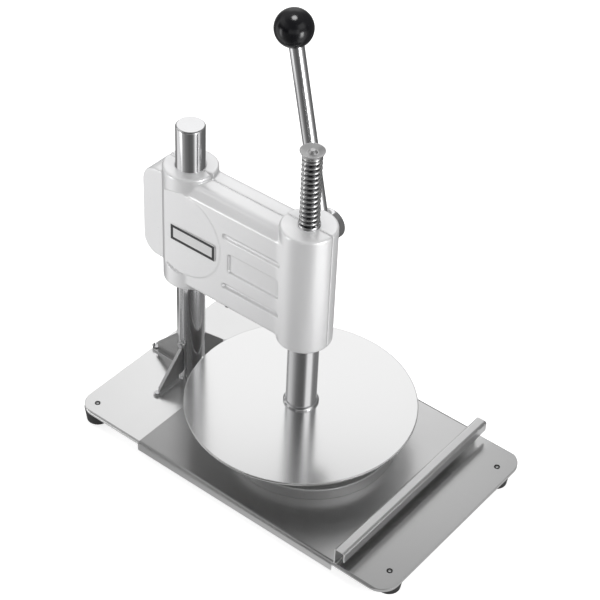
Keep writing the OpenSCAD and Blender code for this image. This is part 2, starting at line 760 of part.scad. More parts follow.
module knob() {
    flat_z = -knob_r * knob_flat_share;
    color("#101010") handle_frame() translate([0, 0, handle_l]) difference() {
        sphere(knob_r);
        translate([-knob_r, -knob_r, flat_z - knob_r]) cube([knob_d, knob_d, knob_r]);
        translate([0, 0, flat_z - cut]) cylinder(r = rod_r + seat_fit, h = knob_hole_l + cut);
    }
}

// Trapezoid of one rack space, cut from the tips to the root
module rack_space(z) {
    slope = tan(pressure);
    half = pitch / 4 + flank_gap;
    out = rack_add + cut;
    in = pinion_add + root_gap;
    along_y(-ram_r, ram_r) translate([rack_x, z]) polygon([
        [-out, -half - out * slope], [in, -half + in * slope],
        [in, half - in * slope], [-out, half + out * slope]]);
}

module ram() {
    color("silver") difference() {
        translate([ram_x, 0, ram_z]) cylinder(r = ram_r, h = ram_top - ram_z);
        translate([ram_x - ram_r - cut, -ram_r, rack_bottom])
            cube([rack_depth - rack_add + cut, ram_d, ram_top - rack_bottom + cut]);
        for (i = [0:rack_teeth]) let (z = pinion_z + (i - 1 / 2) * pitch)
            if (z - pitch / 2 > rack_bottom) rack_space(z);
        translate([ram_x, 0, ram_top - stud_depth]) cylinder(r = stud_r + seat_fit, h = stud_depth + cut);
        translate([ram_x, 0, ram_z - cut])
            cylinder(r = plate_screw_r + seat_fit, h = plate_screw_depth + 2 * cut);
    }
}

module ram_collar() {
    color("whitesmoke") translate([ram_x, 0, ram_z]) difference() {
        union() {
            cylinder(r = collar_r, h = collar_h - collar_chamfer);
            translate([0, 0, collar_h - collar_chamfer])
                cylinder(r1 = collar_r, r2 = collar_r - collar_chamfer, h = collar_chamfer);
        }
        translate([0, 0, -cut]) cylinder(r = ram_r + seat_fit, h = collar_h + 2 * cut);
    }
}

module upper_plate() {
    color("white") translate([ram_x, 0, upper_z]) difference() {
        edged_cylinder(upper_d / 2, upper_t, plate_edge);
        translate([0, 0, -cut]) cylinder(r = plate_screw_r + seat_fit, h = upper_t + 2 * cut);
        cylinder(r1 = plate_screw_head_r, r2 = plate_screw_r, h = plate_screw_head_t);
    }
}

module plate_screw() {
    color("silver") translate([ram_x, 0, upper_z]) {
        cylinder(r1 = plate_screw_head_r - seat_fit, r2 = plate_screw_r, h = plate_screw_head_t);
        cylinder(r = plate_screw_r, h = upper_t + plate_screw_depth);
    }
}

module ram_stud() {
    color("silver") translate([ram_x, 0, ram_top - stud_depth]) difference() {
        cylinder(r = stud_r, h = cap_z - ram_top + stud_depth);
        translate([0, 0, cap_z - ram_top + stud_depth - cap_screw_depth])
            cylinder(r = cap_screw_r + seat_fit, h = cap_screw_depth + cut);
    }
}

module spring_seat() {
    color("silver") translate([ram_x, 0, head_top]) difference() {
        cylinder(r = seat_r, h = seat_t + seat_lip);
        translate([0, 0, -cut]) cylinder(r = stud_hole_r, h = seat_t + 2 * cut);
        translate([0, 0, seat_t]) cylinder(r = spring_d / 2 + coil_gap, h = seat_lip + cut);
    }
}

// Centre line of the spring's wire: closed end turns, an even pitch between them, and
// ends that run straight for one wire diameter
coil_z0 = head_top + seat_t + coil_gap + wire_r;
coil_z1 = cap_z - coil_gap - wire_r;
coil_pitch = (coil_z1 - coil_z0 - 2 * end_turns * end_pitch) / (spring_turns - 2 * end_turns);
function coil_rise(turn) =
    turn < end_turns ? turn * end_pitch :
    turn > spring_turns - end_turns ? coil_z1 - coil_z0 - (spring_turns - turn) * end_pitch :
    end_turns * end_pitch + (turn - end_turns) * coil_pitch;
function coil_point(turn) =
    [coil_r * cos(360 * turn), coil_r * sin(360 * turn), coil_z0 + coil_rise(turn)];
coil_turned = [for (i = [0:spring_turns * coil_rings]) coil_point(i / coil_rings)];
coil_line = concat([coil_point(0) - [0, wire_d, 0]], coil_turned,
                   [coil_point(spring_turns) + [0, wire_d, 0]]);

// Least gap between one turn of the wire and the next
coil_least_gap = min([for (i = [0:(spring_turns - 1) * coil_rings])
    norm(coil_turned[i + coil_rings] - coil_turned[i]) - wire_d]);
echo(coil_least_gap = coil_least_gap);

// Tube swept along points, as one closed polyhedron of triangles
module swept_wire(points, r, sides) {
    last = len(points) - 1;
    function unit(v) = v / norm(v);
    function ahead(i) = unit(points[min(i + 1, last)] - points[max(i - 1, 0)]);
    function side_way(i) = unit(cross(ahead(i), [0, 0, 1]));
    function ring(i) = let (u = side_way(i), w = cross(u, ahead(i)))
        [for (s = [0:sides - 1]) let (a = 360 * s / sides) points[i] + r * (cos(a) * u + sin(a) * w)];
    skin = [for (i = [0:last - 1], s = [0:sides - 1])
        let (a = i * sides + s, b = i * sides + (s + 1) % sides)
        each [[a, b, b + sides], [a, b + sides, a + sides]]];
    start = [for (s = [1:sides - 2]) [0, s + 1, s]];
    end = [for (s = [1:sides - 2]) [last * sides, last * sides + s, last * sides + s + 1]];
    polyhedron([for (i = [0:last]) each ring(i)], concat(skin, start, end));
}

module return_spring() {
    color("gray") translate([ram_x, 0, 0]) swept_wire(coil_line, wire_r, wire_sides);
}

module spring_cap() {
    color("silver") translate([ram_x, 0, cap_z]) difference() {
        union() {
            cylinder(r = cap_r - cap_dish, h = cap_t);
            cylinder(r1 = cap_r - cap_dish, r2 = cap_r, h = cap_t + cap_dish);
        }
        translate([0, 0, -cut]) cylinder(r = cap_screw_r + seat_fit, h = cap_t + 2 * cut);
        translate([0, 0, cap_t])
            cylinder(r1 = cap_screw_head_r + clear_fit, r2 = cap_r - cap_t / 2, h = cap_dish);
        translate([0, 0, cap_t + cap_dish]) cylinder(r = cap_r - cap_t / 2, h = cut);
    }
}

module cap_screw() {
    color("silver") translate([ram_x, 0, cap_z + cap_t]) {
        cylinder(r1 = cap_screw_head_r, r2 = cap_screw_head_r / 2, h = cap_screw_head_t);
        translate([0, 0, -cap_t - cap_screw_depth]) cylinder(r = cap_screw_r, h = cap_t + cap_screw_depth);
    }
}

// Section of the tray across its width: top sheet, two bends and two flanges
module tray_section() {
    r = bend_r + sheet_t;
    square_half = tray_half_w - r;
    translate([-square_half, tray_z]) square([2 * square_half, sheet_t]);
    for (side = [-1, 1]) {
        translate([side * square_half, tray_z + sheet_t - r]) bend(r, sheet_t, side, 1);
        translate([side > 0 ? tray_half_w - sheet_t : -tray_half_w, tray_z + sheet_t - flange_h])
            square([sheet_t, flange_h - r]);
    }
}

// Section of the grip lip along X: bend up, web, top and front skirt
module lip_section() {
    r = lip_bend_r + sheet_t;
    top = tray_z + lip_h;
    front = lip_x + lip_w;
    translate([lip_x - lip_bend_r, tray_z + r]) bend(r, sheet_t, 1, -1);
    translate([lip_x, tray_z + r]) square([sheet_t, lip_h - 2 * r]);
    translate([lip_x + r, top - r]) bend(r, sheet_t, -1, 1);
    translate([lip_x + r, top - sheet_t]) square([lip_w - 2 * r, sheet_t]);
    translate([front - r, top - r]) bend(r, sheet_t, 1, 1);
    translate([front - sheet_t, top - lip_skirt]) square([sheet_t, lip_skirt - r]);
}

module tray() {
    color("lightgray") difference() {
        union() {
            along_x(tray_x - tray_rear, lip_x - lip_bend_r) tray_section();
            along_y(-base_w / 2, base_w / 2) lip_section();
        }
        for (side = [-1, 1]) translate([tray_x, side * dowel_out, tray_z - cut])
            cylinder(r = dowel_r + seat_fit, h = sheet_t + 2 * cut);
    }
}

module lower_plate() {
    color("silver") translate([tray_x, 0, lower_z]) difference() {
        union() {
            cylinder(r = lower_d / 2, h = lower_t - lower_edge);
            translate([0, 0, lower_t - lower_edge])
                cylinder(r1 = lower_d / 2, r2 = lower_d / 2 - lower_edge, h = lower_edge);
        }
        for (side = [-1, 1]) translate([0, side * dowel_out, -cut])
            cylinder(r = dowel_r + seat_fit, h = dowel_depth + cut);
    }
}

module plate_dowels() {
    color("dimgray") for (side = [-1, 1]) translate([tray_x, side * dowel_out, tray_z])
        cylinder(r = dowel_r, h = sheet_t + dowel_depth);
}

base_plate();
rubber_feet();
foot_screws();
foot_nuts();
column();
column_bolt();
column_washer();
gusset(gusset_near);
gusset(gusset_far);
gusset(gusset_rear);
gusset_screws();
near_shell();
far_shell();
head_screws();
clamp_bolts();
clamp_washers();
arm_screw();
label_plate();
ram_bush(head_bottom, lower_bush_l);  // ram_bush_lower
ram_bush(upper_bush_top - upper_bush_l, upper_bush_l);  // ram_bush_upper
pinion_bush(-far_bush_y - near_bush_l, -far_bush_y);  // pinion_bush_near
pinion_bush(far_bush_y, shaft_boss_y);  // pinion_bush_far
pinion_shaft();
thrust_washer();
handle_hub();
hub_pin();
hub_screw();
handle_rod();
knob();
ram();
ram_collar();
upper_plate();
plate_screw();
ram_stud();
spring_seat();
return_spring();
spring_cap();
cap_screw();
tray();
lower_plate();
plate_dowels();
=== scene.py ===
import json
import math

import bmesh
import bpy
from mathutils import Matrix, Vector

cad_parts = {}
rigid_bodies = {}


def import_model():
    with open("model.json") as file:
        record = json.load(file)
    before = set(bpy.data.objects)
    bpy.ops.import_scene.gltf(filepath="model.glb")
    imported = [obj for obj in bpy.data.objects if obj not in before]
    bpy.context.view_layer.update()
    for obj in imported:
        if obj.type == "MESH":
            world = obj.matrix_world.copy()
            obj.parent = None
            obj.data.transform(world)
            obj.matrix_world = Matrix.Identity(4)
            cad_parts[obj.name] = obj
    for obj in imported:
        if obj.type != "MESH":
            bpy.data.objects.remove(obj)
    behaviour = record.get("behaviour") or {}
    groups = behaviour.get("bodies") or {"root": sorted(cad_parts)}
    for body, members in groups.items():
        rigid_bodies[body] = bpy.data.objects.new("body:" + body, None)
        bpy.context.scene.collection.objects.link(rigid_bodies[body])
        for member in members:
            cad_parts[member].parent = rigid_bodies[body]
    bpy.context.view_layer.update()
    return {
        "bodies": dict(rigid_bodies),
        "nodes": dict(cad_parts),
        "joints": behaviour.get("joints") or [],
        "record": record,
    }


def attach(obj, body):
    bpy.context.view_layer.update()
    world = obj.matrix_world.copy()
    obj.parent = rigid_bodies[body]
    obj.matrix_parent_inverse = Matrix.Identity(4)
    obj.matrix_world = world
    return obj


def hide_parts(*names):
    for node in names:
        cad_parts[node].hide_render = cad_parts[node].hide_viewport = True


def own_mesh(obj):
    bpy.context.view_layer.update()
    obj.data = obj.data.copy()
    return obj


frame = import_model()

mm = 0.001
nodes = frame["nodes"]
print("frame loaded:", len(nodes), "nodes")


# a socket in a node tree; sums and products of wires add Math nodes

class Wire:
    def __init__(self, graph, socket):
        self.graph, self.socket = graph, socket

    def maths(self, operation, *values):
        return self.graph.maths(operation, self, *values)

    def __add__(self, other): return self.maths("ADD", other)
    def __radd__(self, other): return self.maths("ADD", other)
    def __sub__(self, other): return self.maths("SUBTRACT", other)
    def __rsub__(self, other): return self.graph.maths("SUBTRACT", other, self)
    def __mul__(self, other): return self.maths("MULTIPLY", other)
    def __rmul__(self, other): return self.maths("MULTIPLY", other)
    def __truediv__(self, other): return self.maths("DIVIDE", other)
    def __neg__(self): return self.maths("MULTIPLY", -1.0)
    def __abs__(self): return self.maths("ABSOLUTE")
    def low(self, other): return self.maths("MINIMUM", other)
    def high(self, other): return self.maths("MAXIMUM", other)
    def below(self, level): return self.maths("LESS_THAN", level)
    def above(self, level): return self.maths("GREATER_THAN", level)
    def clamp(self): return self.graph.take("ShaderNodeClamp", {}, {0: self})

    # 0 at the start and 1 at the end, and level beyond them
    def ramp(self, start, end): return ((self - start) / (end - start)).clamp()


class Graph:
    def __init__(self, tree):
        self.tree = tree
        tree.nodes.clear()

    # adds one node: its settings first, then its sockets, each a value or a wire
    def add(self, kind, settings, inputs):
        node = self.tree.nodes.new(kind)
        for name, value in settings.items():
            if name == "stops":
                fillRamp(node.color_ramp, value)
            else:
                setattr(node, name, value)
        for key, value in inputs.items():
            if isinstance(value, Wire):
                self.tree.links.new(value.socket, node.inputs[key])
            else:
                node.inputs[key].default_value = value
        return node

    def take(self, kind, settings, inputs, output=0):
        return Wire(self, self.add(kind, settings, inputs).outputs[output])

    def maths(self, operation, *values):
        return self.take("ShaderNodeMath", {"operation": operation}, dict(enumerate(values)))

    def split(self, vector):
        parts = self.add("ShaderNodeSeparateXYZ", {}, {0: vector}).outputs
        return [Wire(self, parts[i]) for i in range(3)]

    # where a point of the surface lies in its object
    def place(self):
        return self.take("ShaderNodeTexCoord", {}, {}, "Object")

    def mix(self, factor, low, high):
        low, high = (tone if isinstance(tone, Wire) else rgba(tone) for tone in (low, high))
        return self.take("ShaderNodeMix", {"data_type": "RGBA"}, {0: factor, 6: low, 7: high}, 2)


# a tone is a grey level or three parts
def rgba(tone):
    return (*tone, 1.0) if isinstance(tone, tuple) else (tone, tone, tone, 1.0)


def fillRamp(ramp, stops):
    while len(ramp.elements) > 1:
        ramp.elements.remove(ramp.elements[-1])
    for i, (place, tone) in enumerate(stops):
        element = ramp.elements[0] if i == 0 else ramp.elements.new(place)
        element.position = place
        element.color = rgba(tone)


def away(u, v):
    return (u * u + v * v).maths("SQRT")


def newMaterial(name):
    material = bpy.data.materials.new(name)
    material.use_nodes = True
    return material, Graph(material.node_tree)


def newObject(name, data):
    thing = bpy.data.objects.new(name, data)
    bpy.context.scene.collection.objects.link(thing)
    return thing


# what a modifier shows becomes the thing's own mesh
def settle(thing, modifier):
    depsgraph = bpy.context.evaluated_depsgraph_get()
    mesh = bpy.data.meshes.new_from_object(thing.evaluated_get(depsgraph), depsgraph=depsgraph)
    thing.modifiers.remove(modifier)
    thing.data = mesh


# camera

photoCamera = {
    "imagePx": 600,
    "focalPx": 1799.4,
    "principalPx": (282.2, 265.5),
    "sensorWidth": 36,
    "clip": (0.05, 50),
    "azimuth": 37.84,
    "elevation": 38.75,
    "roll": 2.11,
    "distance": 1.670,
    "target": (0.0100, -0.0503, 0.2760),
}


def placeCamera(d):
    azimuth, elevation, roll = (math.radians(d[k]) for k in ("azimuth", "elevation", "roll"))
    back = Vector((math.sin(azimuth) * math.cos(elevation),
                   -math.cos(azimuth) * math.cos(elevation), math.sin(elevation)))
    across = Vector((0, 0, 1)).cross(back).normalized()
    up = back.cross(across)
    right = math.cos(roll) * across + math.sin(roll) * up
    upright = math.cos(roll) * up - math.sin(roll) * across
    data = bpy.data.cameras.new("photoCamera")
    data.sensor_width = d["sensorWidth"]
    data.lens = d["focalPx"] / d["imagePx"] * data.sensor_width
    data.shift_x = 0.5 - d["principalPx"][0] / d["imagePx"]
    data.shift_y = d["principalPx"][1] / d["imagePx"] - 0.5
    data.clip_start, data.clip_end = d["clip"]
    camera = newObject("photoCamera", data)
    camera.matrix_world = Matrix.Translation(Vector(d["target"]) + back * d["distance"]) @ Matrix(
        (right, upright, back)).transposed().to_4x4()
    bpy.context.scene.camera = camera


placeCamera(photoCamera)
print("camera placed")


# studio: a white floor, soft lamps, and grey cards that only the metal sees

studio = {
    "floorSize": 12.0,
    "floorTone": 0.80,
    "floorGlow": 0.55,
    "worldFill": 0.60,
    "lamps": {
        "topBox": ((-0.7, 0.4, 2.3), (0.0, 0.0, 0.15), 1.6, 20.0),
        "rightBox": ((2.1, 0.1, 1.3), (0.0, 0.0, 0.2), 1.2, 32.0),
        "leftBox": ((-0.9, -1.9, 0.9), (0.0, 0.0, 0.2), 1.0, 12.0),
    },
    "knobLamp": ((0.0, 0.0, 3.3), 1.3, 45.0),     # overhead, and only the ball knob sees it
    "cardRadii": (0.02, 2.4),
    "cardHeights": (0.001, 3.4),
    "cardSides": 96,
    "middle": (-0.05, 0.0, 0.06),     # the point that bearings and slopes are taken from
    # degrees to the right of the camera's own direction, and how bright the cards are there
    "ringTones": ((-180, 0.6), (-164, 0.5), (-150, 0.16), (-124, 0.16), (-108, 0.80), (-84, 0.70), (-60, 0.36),
                  (-40, 0.17), (-12, 0.10), (12, 0.11), (24, 0.28), (36, 0.92), (66, 0.95), (78, 0.34),
                  (92, 0.16), (130, 0.12), (156, 0.14), (170, 0.5), (180, 0.6)),
    "highTones": ((-180, 1.0), (-168, 1.0), (-152, 0.35), (-124, 0.45), (-108, 0.70), (-84, 0.60), (-60, 0.34),
                  (-40, 0.17), (-12, 0.10), (12, 0.11), (24, 0.28), (36, 0.92), (66, 0.95), (78, 0.34),
                  (92, 0.20), (140, 0.20), (154, 0.4), (168, 1.0), (180, 1.0)),
    "highFrom": (0.38, 0.60),     # the slope, height over distance, where the high cards begin
    "roofTones": ((-180, 0.50), (-120, 0.45), (-60, 0.14), (0, 0.08), (60, 0.20), (120, 0.28), (180, 0.50)),
    "roofFrom": (1.05, 1.15),     # the slope where the wall turns into the roof
    # the left flag hangs above the horizon and leaves the floor's light below it
    "flagTones": ((-180, 0.2), (-112, 0.2), (-100, 0.02), (-34, 0.02), (-22, 0.8), (20, 0.8), (34, 0.08),
                  (84, 0.08), (100, 0.2), (180, 0.2)),
    "flagGain": 5.0,
    "flagFrom": (0.02, 0.14),
    # bright patches that show as spots in the ball knob: bearing, slope, half width in degrees, half height as a
    # slope, strength; in half sizes, where they end and where they are full
    "spots": ((46.0, 0.05, 8.0, 0.10, 9.0), (-76.0, 0.05, 7.0, 0.12, 2.2)),
    "spotFade": (1.3, 0.7),
    # the floor close round the base, which lights its edges: half sizes, from and to, tone, and up to what height
    "skirt": ((0.20, 0.12), (0.02, 0.07), 0.58, 0.01),
}


def whiteToEyeAndMetal(graph):
    path = graph.add("ShaderNodeLightPath", {}, {})
    return sum(Wire(graph, path.outputs[name])
               for name in ("Is Camera Ray", "Is Glossy Ray", "Is Transmission Ray")).clamp()


def makeWorld(d):
    world = bpy.data.worlds.new("studioWorld")
    world.use_nodes = True
    graph = Graph(world.node_tree)
    seen = whiteToEyeAndMetal(graph)
    fill, white = (graph.take("ShaderNodeBackground", {}, {"Color": rgba(1.0), "Strength": strength})
                   for strength in (d["worldFill"], 1.0))
    shown = graph.take("ShaderNodeMixShader", {}, {0: seen, 1: fill, 2: white})
    graph.add("ShaderNodeOutputWorld", {}, {"Surface": shown})
    bpy.context.scene.world = world


def makeFloor(d):
    mesh = bpy.data.meshes.new("studioFloor")
    half = d["floorSize"] / 2
    mesh.from_pydata([(-half, -half, 0), (half, -half, 0), (half, half, 0), (-half, half, 0)], [], [(0, 1, 2, 3)])
    floor = newObject("studioFloor", mesh)
    material, graph = newMaterial("studioFloor")
    matt = graph.take("ShaderNodeBsdfDiffuse", {}, {"Color": rgba(d["floorTone"])})
    glow = graph.take("ShaderNodeEmission", {}, {"Strength": whiteToEyeAndMetal(graph) * d["floorGlow"]})
    shown = graph.take("ShaderNodeAddShader", {}, {0: matt, 1: glow})
    graph.add("ShaderNodeOutputMaterial", {}, {"Surface": shown})
    mesh.materials.append(material)


# a drum round the press: a disc just over the floor, a wall and a roof
def cardMesh(d):
    (hole, radius), (foot, top), steps = d["cardRadii"], d["cardHeights"], d["cardSides"]
    bm = bmesh.new()
    rings = [[bm.verts.new((r * math.cos(t), r * math.sin(t), z))
              for t in (2 * math.pi * i / steps for i in range(steps))]
             for r, z in ((hole, foot), (radius, foot), (radius, top), (hole, top))]
    for a, b in zip(rings, rings[1:]):
        for i in range(steps):
            bm.faces.new((a[i], a[(i + 1) % steps], b[(i + 1) % steps], b[i]))
    mesh = bpy.data.meshes.new("studioCards")
    bm.to_mesh(mesh)
    bm.free()
    return mesh


def shareOfTurn(degrees):
    return (degrees + 180) / 360


# light boxes and dark flags in a ring round the press, up to a grey roof
def makeCards(d, cameraAzimuth):
    mesh = cardMesh(d)
    cards = newObject("studioCards", mesh)
    material, graph = newMaterial("studioCards")
    x, y, z = graph.split(graph.place())
    (halfX, halfY), (start, end), skirtTone, skirtTop = d["skirt"]
    skirt = (1.0 - (abs(x) - halfX).high(abs(y) - halfY).ramp(start, end)) * z.below(skirtTop)

    x, y, z = (part - middle for part, middle in zip((x, y, z), d["middle"]))
    turn = math.radians(cameraAzimuth)
    ahead = x * math.sin(turn) - y * math.cos(turn)
    right = x * math.cos(turn) + y * math.sin(turn)
    bearing = right.maths("ARCTAN2", ahead) / (2 * math.pi) + 0.5
    slope = z / away(x, y)
    ring, high, roof, flag = (
        graph.take("ShaderNodeValToRGB", {"stops": [(shareOfTurn(angle), tone) for angle, tone in d[row]]},
                   {0: bearing}) for row in ("ringTones", "highTones", "roofTones", "flagTones"))
    rise, hung, lift = (slope.ramp(*d[row]) for row in ("roofFrom", "flagFrom", "highFrom"))
    ring = ring * (1.0 - hung * (1.0 - flag * d["flagGain"]))
    ring = ring + (high - ring) * lift
    ring = ring + (skirtTone - ring) * skirt
    glare = []
    for centre, level, width, tall, strength in d["spots"]:
        off = (abs(bearing - shareOfTurn(centre)) * (360 / width)).high(abs(slope - level) / tall)
        glare.append(off.ramp(*d["spotFade"]) * strength)
    bright = graph.mix(rise, ring, roof) + sum(glare)
    light = graph.take("ShaderNodeEmission", {}, {"Color": rgba(1.0), "Strength": bright})
    graph.add("ShaderNodeOutputMaterial", {}, {"Surface": light})
    mesh.materials.append(material)
    cards.visible_camera = cards.visible_diffuse = cards.visible_shadow = False
    cards.visible_transmission = cards.visible_volume_scatter = False


def newLamp(name, shape, place, size, power):
    data = bpy.data.lights.new(name, "AREA")
    data.shape, data.size, data.energy = shape, size, power
    lamp = newObject(name, data)
    lamp.location = place
    return lamp


def makeLamps(d):
    for name, (place, aim, size, power) in d["lamps"].items():
        lamp = newLamp(name, "SQUARE", place, size, power)
        lamp.rotation_euler = (Vector(aim) - Vector(place)).to_track_quat("-Z", "Y").to_euler()
        lamp.visible_glossy = False
    lamp = newLamp("knobLamp", "DISK", *d["knobLamp"])
    lamp.light_linking.receiver_collection = bpy.data.collections.new("knobOnly")
    lamp.light_linking.receiver_collection.objects.link(nodes["knob"])


makeWorld(studio)
makeFloor(studio)
makeCards(studio, photoCamera["azimuth"])
makeLamps(studio)
bpy.context.scene.view_settings.view_transform = "Standard"
print("studio lit")


# materials

finishes = {}
brushed = (40, 1600, 1600)     # how often streaks along X change on each axis, per metre


def newFinish(name):
    finishes[name], graph = newMaterial(name)
    return graph


def endFinish(graph, inputs):
    surface = graph.take("ShaderNodeBsdfPrincipled", {}, inputs)
    graph.add("ShaderNodeOutputMaterial", {}, {"Surface": surface})


def objectPlace(graph, scale=(1, 1, 1)):
    return graph.take("ShaderNodeMapping", {}, {"Vector": graph.place(), "Scale": scale})


def noise(graph, scale=1.0, detail=2.0, roughness=0.5, grain=(1, 1, 1)):
    return graph.take("ShaderNodeTexNoise", {}, {"Vector": objectPlace(graph, grain), "Scale": scale,
                                                 "Detail": detail, "Roughness": roughness})


def bump(graph, height, strength, distance=0.2 * mm):
    return graph.take("ShaderNodeBump", {}, {"Strength": strength, "Distance": distance, "Height": height})


def darker(tone, share):
    return tuple(part * share for part in rgba(tone)[:3])


# sheet and bar that was brushed along one axis; the last argument darkens one side of the sheet as painted shade: its
# direction, from, to, its tone, and up to what level
def brushedMetal(name, tone, roughness, paintedShade=None):
    graph = newFinish(name)
    streaks = noise(graph, detail=3.0, roughness=0.6, grain=brushed)
    clouds = noise(graph, scale=14.0)
    shade = (streaks - 0.5) * 0.5 + (clouds - 0.5) * 0.6 + 0.5
    colour = graph.mix(shade.clamp(), darker(tone, 0.95), tone)
    if paintedShade:
        # painted shade: the colour darkens towards one side, up to a level
        (across, along), start, end, shadedTone, level = paintedShade
        x, y, z = graph.split(objectPlace(graph))
        shadedPart = (x * across + y * along).ramp(start, end) * z.below(level)
        colour = graph.mix(shadedPart, colour, shadedTone)
    endFinish(graph, {"Base Color": colour, "Metallic": 1.0, "Normal": bump(graph, streaks, 0.02),
                      "Roughness": roughness + (streaks - 0.5) * (roughness * 0.5)})


# polished above, left satin on the side that faces the dough
def pressPlate(name, level):
    graph = newFinish(name)
    under = graph.split(graph.place())[2].below(level)
    streaks = noise(graph, detail=3.0, grain=brushed)
    endFinish(graph, {"Base Color": graph.mix(streaks, 0.89, 0.93), "Metallic": 1.0,
                      "Roughness": 0.14 + streaks * 0.05 + under * 0.30})


# bare label plate with a plain dark frame, which lies between two distances from the plate's edge
def labelMetal(name, centre, half, band):
    graph = newFinish(name)
    x, _, z = graph.split(graph.place())
    inside = (half[0] - abs(x - centre[0])).low(half[1] - abs(z - centre[1]))
    frame = inside.above(band[0]) * inside.below(band[1])
    silver = graph.mix(noise(graph, grain=(60, 60, 2400)), 0.78, 0.86)
    endFinish(graph, {"Base Color": graph.mix(frame, silver, (0.02, 0.02, 0.022)),
                      "Metallic": 0.8 - frame * 0.8, "Roughness": 0.28 + frame * 0.1})


# ground and polished bar with faint turning marks round it
def turnedMetal(name, tone, roughness):
    graph = newFinish(name)
    marks = noise(graph, grain=(60, 60, 2600))
    endFinish(graph, {"Base Color": graph.mix(marks, darker(tone, 0.94), tone), "Metallic": 1.0,
                      "Roughness": roughness * 0.8 + marks * (roughness * 0.4)})


def castSilver(name):
    graph = newFinish(name)
    grain = noise(graph, scale=1500.0)
    clouds = noise(graph, scale=22.0, detail=3.0)
    endFinish(graph, {"Base Color": graph.mix(clouds, (0.86, 0.86, 0.865), (0.90, 0.90, 0.905)),
                      "Metallic": 0.55, "Roughness": 0.30 + (grain - 0.5) * 0.10,
                      "Normal": bump(graph, grain, 0.06)})


# a socket screw at the bottom of its hole: bright steel round the socket, and painted shade of the hole darkening it
# towards the rim
def sunkScrew(name, centres, rimFrom, rimTo):
    graph = newFinish(name)
    x, y = (abs(part) for part in graph.split(graph.place())[:2])
    reach, *others = (away(x - cx, y - cy) for cx, cy in centres)
    for other in others:
        reach = reach.low(other)
    endFinish(graph, {"Base Color": graph.mix(reach.ramp(rimFrom, rimTo), 0.80, 0.02), "Metallic": 1.0,
                      "Roughness": 0.25})


def blackGloss(name):
    graph = newFinish(name)
    dust = noise(graph, scale=700.0)
    endFinish(graph, {"Base Color": rgba((0.004, 0.004, 0.005)), "Roughness": 0.13 + dust * 0.08})


def blackRubber(name):
    graph = newFinish(name)
    grain = noise(graph, scale=1200.0, detail=3.0)
    endFinish(graph, {"Base Color": graph.mix(grain, 0.010, 0.022), "Roughness": 0.62,
                      "Normal": bump(graph, grain, 0.25, 0.3 * mm)})


def bronze(name):
    graph = newFinish(name)
    stain = noise(graph, scale=90.0, detail=3.0)
    endFinish(graph, {"Base Color": graph.mix(stain, (0.44, 0.35, 0.23), (0.58, 0.48, 0.33)),
                      "Metallic": 1.0, "Roughness": 0.30 + stain * 0.15})


# the base's front end, past the tray, is darkened as painted shade
brushedMetal("baseSteel", 0.88, 0.21, paintedShade=((1, 0), 0.125, 0.165, 0.62, 1.0))
brushedMetal("gussetSteel", 0.84, 0.32)
# a darker copy of the gusset steel for the far and rear gussets: painted shade
brushedMetal("gussetPaintedShade", 0.56, 0.30)
# the tray is darkened towards its near rear corner as painted shade
brushedMetal("traySteel", 0.92, 0.34, paintedShade=((-0.6, -0.8), -0.06, 0.16, 0.50, 0.024))
pressPlate("plateSteel", 0.0635)
turnedMetal("barChrome", (0.91, 0.91, 0.92), 0.10)
castSilver("castSilver")
turnedMetal("satinSteel", 0.86, 0.36)
turnedMetal("screwSteel", (0.66, 0.66, 0.67), 0.22)
# its dark tone is painted shade, seen in the gaps between the return spring's turns
turnedMetal("darkScrew", (0.22, 0.22, 0.23), 0.28)
sunkScrew("footScrew", ((0.186, 0.092), (0.186, 0.105)), 1.3 * mm, 1.7 * mm)
turnedMetal("springWire", 0.80, 0.13)
brushedMetal("discSteel", 0.80, 0.50)
bronze("bronze")
labelMetal("labelSilver", (-0.1228, 0.2202), (0.0293, 0.00975), (0.0006, 0.0038))
blackRubber("blackRubber")
blackGloss("knobBlack")

slotFinish = {
    "sheet_steel": "baseSteel", "chromed_steel": "barChrome", "plate_steel": "plateSteel",
    "cast_alloy": "castSilver", "screw_steel": "screwSteel", "spring_steel": "springWire",
    "bronze": "bronze", "label": "labelSilver", "rubber": "blackRubber", "knob_black": "knobBlack",
}
ownFinish = {
    "tray": "traySteel", "lower_plate": "discSteel", "ram_stud": "darkScrew", "foot_screws": "footScrew",
    "gusset_near": "gussetSteel", "gusset_far": "gussetPaintedShade", "gusset_rear": "gussetPaintedShade",
    "spring_cap": "satinSteel", "cap_screw": "satinSteel", "handle_hub": "barChrome",
}
# like the castings round them, these stay out of the plate's mirror
unmirrored = ("head_screws", "clamp_bolts", "clamp_washers", "arm_screw", "ram_bush_lower", "ram_bush_upper",
              "pinion_bush_near", "pinion_bush_far", "pinion_shaft", "thrust_washer", "hub_pin", "hub_screw")
slotOf = {part["node"]: part["material_slot"] for part in frame["record"]["subparts"]}

for name, thing in nodes.items():
    thing.data.materials.clear()
    thing.data.materials.append(finishes[ownFinish.get(name, slotFinish[slotOf[name]])])
for name in unmirrored:
    nodes[name].visible_glossy = False
print("CAD nodes dressed")


# cut and folded metal has eased edges that catch the light: a copy of the node, merged and bevelled

mergeWithin = 0.01 * mm
samePlane = 0.99999      # cosine between faces that count as one plane
flatFrom = 3.9 * mm      # a face wider than this is a flat of the sheet
chamferFrom = 1.5 * mm   # a narrower one is a chamfer down to this width, if no bend runs on from it
bendStep = (0.5, 12)     # degrees between the faces of a bend; with less they are merged
easeFrom = 32            # degrees at which an edge counts as sharp
easeSteps = 2
easedEdges = {
    "base_plate": 0.4, "tray": 0.35, "gusset_near": 0.3, "gusset_far": 0.3, "gusset_rear": 0.3,
    "lower_plate": 0.5, "upper_plate": 0.4, "spring_cap": 0.3, "spring_seat": 0.3, "ram_collar": 0.4,
    "label_plate": 0.15, "handle_hub": 0.4, "column": 0.4, "cap_screw": 0.15, "foot_screws": 0.15,
}
bodyOf = {part: body for body, parts in frame["record"]["behaviour"]["bodies"].items() for part in parts}


